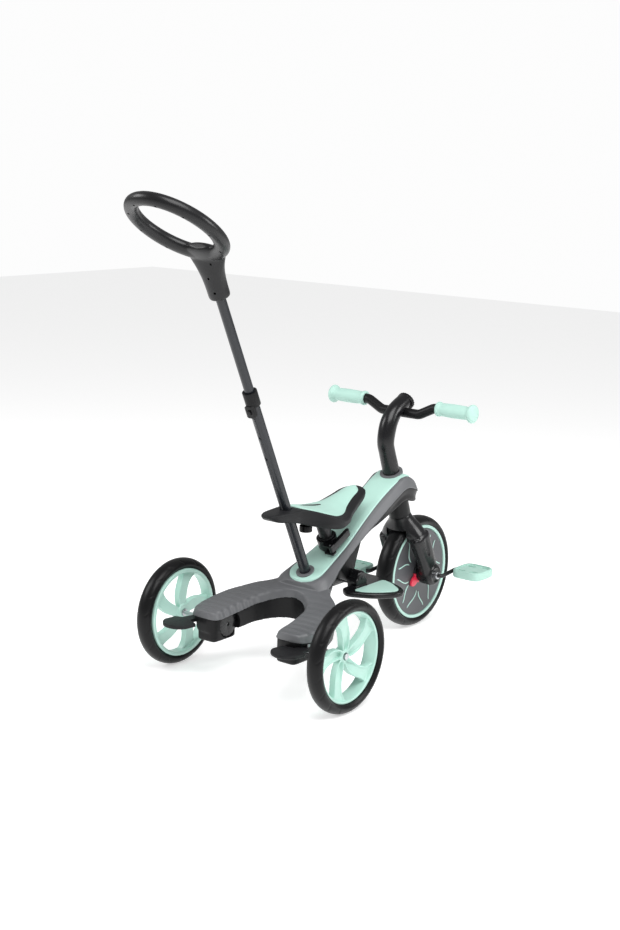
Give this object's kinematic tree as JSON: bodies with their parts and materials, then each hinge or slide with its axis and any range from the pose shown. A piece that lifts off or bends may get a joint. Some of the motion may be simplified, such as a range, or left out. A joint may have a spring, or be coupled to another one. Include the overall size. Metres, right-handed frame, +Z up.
{
  "type": "tricycle",
  "caption": "Child's pedal tricycle with a moulded Y-shaped frame, sliding seat, folding footrest and a telescopic push pole with a ring handle.",
  "frame": {"origin": "on the floor, under the middle of the bounding box", "axes": "+Z up, the tricycle faces -Y, +X to the rider's left"},
  "size_m": [0.462, 1.011, 0.9671],
  "materials": {
    "mint_plastic": "moulded plastic, light mint green",
    "grey_plastic": "moulded plastic, graphite grey with fine grain",
    "charcoal_plastic": "moulded plastic, charcoal",
    "black_plastic": "moulded plastic, satin black",
    "red_plastic": "moulded plastic, red accent",
    "tyre_rubber": "foam rubber tyre, black",
    "grip_rubber": "soft rubber grip, light mint green",
    "black_tube": "powder-coated steel tube, satin black",
    "steel": "zinc-plated steel"
  },
  "bodies": {
    "frame": {"axle_bolts": "steel", "axle_knobs": "black_plastic", "axle_washers": "steel", "brake_pins": "steel", "clamp_pin": "steel", "deck_panel": "mint_plastic", "footrest_pin": "steel", "frame_lower_shell": "black_plastic", "frame_screws": "steel", "frame_top_shell": "grey_plastic", "head_bearings": "charcoal_plastic", "head_ring": "grey_plastic", "head_tube": "black_plastic", "pole_collar": "black_plastic", "pole_lower_tube": "black_tube", "pole_socket": "charcoal_plastic", "seat_clamp": "black_plastic", "seat_socket": "charcoal_plastic"},
    "steering": {"fork": "black_plastic", "steerer": "steel", "stem": "black_plastic", "handlebar": "black_tube", "grip_left": "grip_rubber", "grip_right": "grip_rubber", "crank_bushes": "steel"},
    "front_wheel": {"front_tyre": "tyre_rubber", "front_rim": "mint_plastic", "disc_cover_left": "charcoal_plastic", "disc_cover_right": "charcoal_plastic", "front_hubs": "black_plastic", "crankshaft": "steel"},
    "pedal_left": {"pedal_left": "mint_plastic"},
    "pedal_right": {"pedal_right": "mint_plastic"},
    "rear_wheel_left": {"rear_tyre_left": "tyre_rubber", "rear_rim_left": "mint_plastic", "rear_bush_left": "charcoal_plastic"},
    "rear_wheel_right": {"rear_tyre_right": "tyre_rubber", "rear_rim_right": "mint_plastic", "rear_bush_right": "charcoal_plastic"},
    "seat": {"seat_base": "charcoal_plastic", "seat_pad": "mint_plastic", "seat_post": "black_tube"},
    "seat_clamp_lever": {"seat_clamp_lever": "black_plastic"},
    "seat_knob": {"seat_knob": "black_plastic"},
    "footrest": {"footrest_tray": "black_plastic", "footrest_pads": "mint_plastic"},
    "brake_left": {"brake_paddle_left": "charcoal_plastic"},
    "brake_right": {"brake_paddle_right": "charcoal_plastic"},
    "upper_pole": {"pole_upper_tube": "black_tube"},
    "handle": {"handle_upper_shell": "charcoal_plastic", "handle_lower_shell": "charcoal_plastic", "handle_screws": "steel"},
    "pole_button": {"pole_button": "black_plastic"},
    "stem_knob": {"stem_knob": "black_plastic"},
    "freewheel_lever": {"freewheel_lever": "red_plastic"}
  },
  "joints": [
    {"name": "steering", "type": "hinge", "parent": "frame", "child": "steering", "pos_m": [0, -0.2775, 0.367], "axis": [0, 0.3746, 0.9272], "range_deg": [-30, 30]},
    {"name": "front_wheel_spin", "type": "hinge", "parent": "steering", "child": "front_wheel", "pos_m": [0, -0.3805, 0.125], "axis": [1, 0, 0], "continuous": true},
    {"name": "pedal_left_spin", "type": "hinge", "parent": "front_wheel", "child": "pedal_left", "pos_m": [0.1245, -0.32914, 0.11686], "axis": [1, 0, 0], "continuous": true},
    {"name": "pedal_right_spin", "type": "hinge", "parent": "front_wheel", "child": "pedal_right", "pos_m": [-0.1245, -0.43186, 0.13314], "axis": [1, 0, 0], "continuous": true},
    {"name": "rear_wheel_left_spin", "type": "hinge", "parent": "frame", "child": "rear_wheel_left", "pos_m": [0.214, 0.1635, 0.11], "axis": [1, 0, 0], "continuous": true},
    {"name": "rear_wheel_right_spin", "type": "hinge", "parent": "frame", "child": "rear_wheel_right", "pos_m": [-0.214, 0.1635, 0.11], "axis": [1, 0, 0], "continuous": true},
    {"name": "seat_height", "type": "slide", "parent": "frame", "child": "seat", "axis": [0, 0.4384, 0.8988], "range_m": [-0.01, 0.015]},
    {"name": "seat_clamp_open", "type": "hinge", "parent": "frame", "child": "seat_clamp_lever", "pos_m": [-0.027, -0.03311, 0.245], "axis": [0, 0.4384, 0.8988], "range_deg": [-70, 0]},
    {"name": "seat_knob_turn", "type": "hinge", "parent": "seat", "child": "seat_knob", "pos_m": [0, 0.0195, 0.295], "axis": [0, 0, 1], "continuous": true},
    {"name": "footrest_fold", "type": "hinge", "parent": "frame", "child": "footrest", "pos_m": [0, -0.1225, 0.17], "axis": [1, 0, 0], "range_deg": [0, 80]},
    {"name": "brake_left_swing", "type": "hinge", "parent": "frame", "child": "brake_left", "pos_m": [0.142, 0.1875, 0.115], "axis": [0, 0, 1], "range_deg": [0, 18]},
    {"name": "brake_right_swing", "type": "hinge", "parent": "frame", "child": "brake_right", "pos_m": [-0.142, 0.1875, 0.115], "axis": [0, 0, 1], "range_deg": [0, 18]},
    {"name": "pole_length", "type": "slide", "parent": "frame", "child": "upper_pole", "axis": [0, 0.4384, 0.8988], "range_m": [-0.096, 0]},
    {"name": "handle_swivel", "type": "hinge", "parent": "upper_pole", "child": "handle", "pos_m": [0, 0.0165, 0.203], "axis": [0, 0.4384, 0.8988], "range_deg": [-90, 90]},
    {"name": "pole_button_press", "type": "slide", "parent": "frame", "child": "pole_button", "axis": [0, -0.8988, 0.4384], "range_m": [0, 0.002], "stiffness_N_per_m": 300},
    {"name": "stem_knob_turn", "type": "hinge", "parent": "steering", "child": "stem_knob", "pos_m": [0, -0.3185, 0.512], "axis": [0, -0.8861, 0.4636], "continuous": true},
    {"name": "freewheel_select", "type": "hinge", "parent": "front_wheel", "child": "freewheel_lever", "pos_m": [0, -0.3805, 0.125], "axis": [1, 0, 0], "range_deg": [0, 30]}
  ]
}
